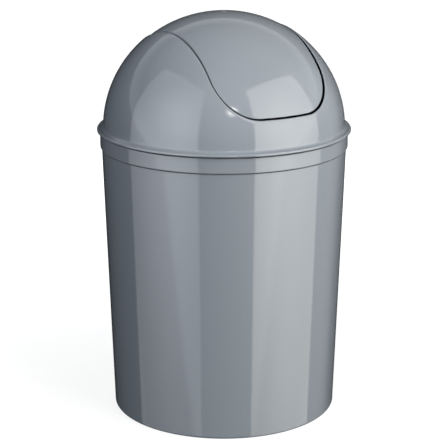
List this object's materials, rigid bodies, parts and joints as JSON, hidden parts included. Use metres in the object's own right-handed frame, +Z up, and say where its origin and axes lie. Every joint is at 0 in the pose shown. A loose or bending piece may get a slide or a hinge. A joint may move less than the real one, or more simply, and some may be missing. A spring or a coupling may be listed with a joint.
{
  "type": "waste bin",
  "caption": "Round waste bin with a tapered bucket, a lift-off dome lid and a two-way swing flap that closes by its own weight.",
  "frame": {"origin": "centre of the base, on the surface that the bin stands on", "axes": "+Z up along the bucket's axis, -Y the front of the flap, X along the flap's pivot axis"},
  "size_m": [0.25, 0.25, 0.3986],
  "materials": {
    "grey_plastic": "glossy moulded plastic, blue-grey",
    "pin_plastic": "natural moulded plastic"
  },
  "bodies": {
    "bucket": {"bucket": "grey_plastic"},
    "lid": {"lid": "grey_plastic", "pivot_pin_left": "pin_plastic", "pivot_pin_right": "pin_plastic"},
    "flap": {"flap": "grey_plastic"}
  },
  "joints": [
    {"name": "lid_lift", "type": "slide", "parent": "bucket", "child": "lid", "axis": [0, 0, 1], "range_m": [0, 0.15]},
    {"name": "flap_swing", "type": "hinge", "parent": "lid", "child": "flap", "pos_m": [0, 0, 0.374], "axis": [1, 0, 0], "range_deg": [-75, 75]}
  ]
}
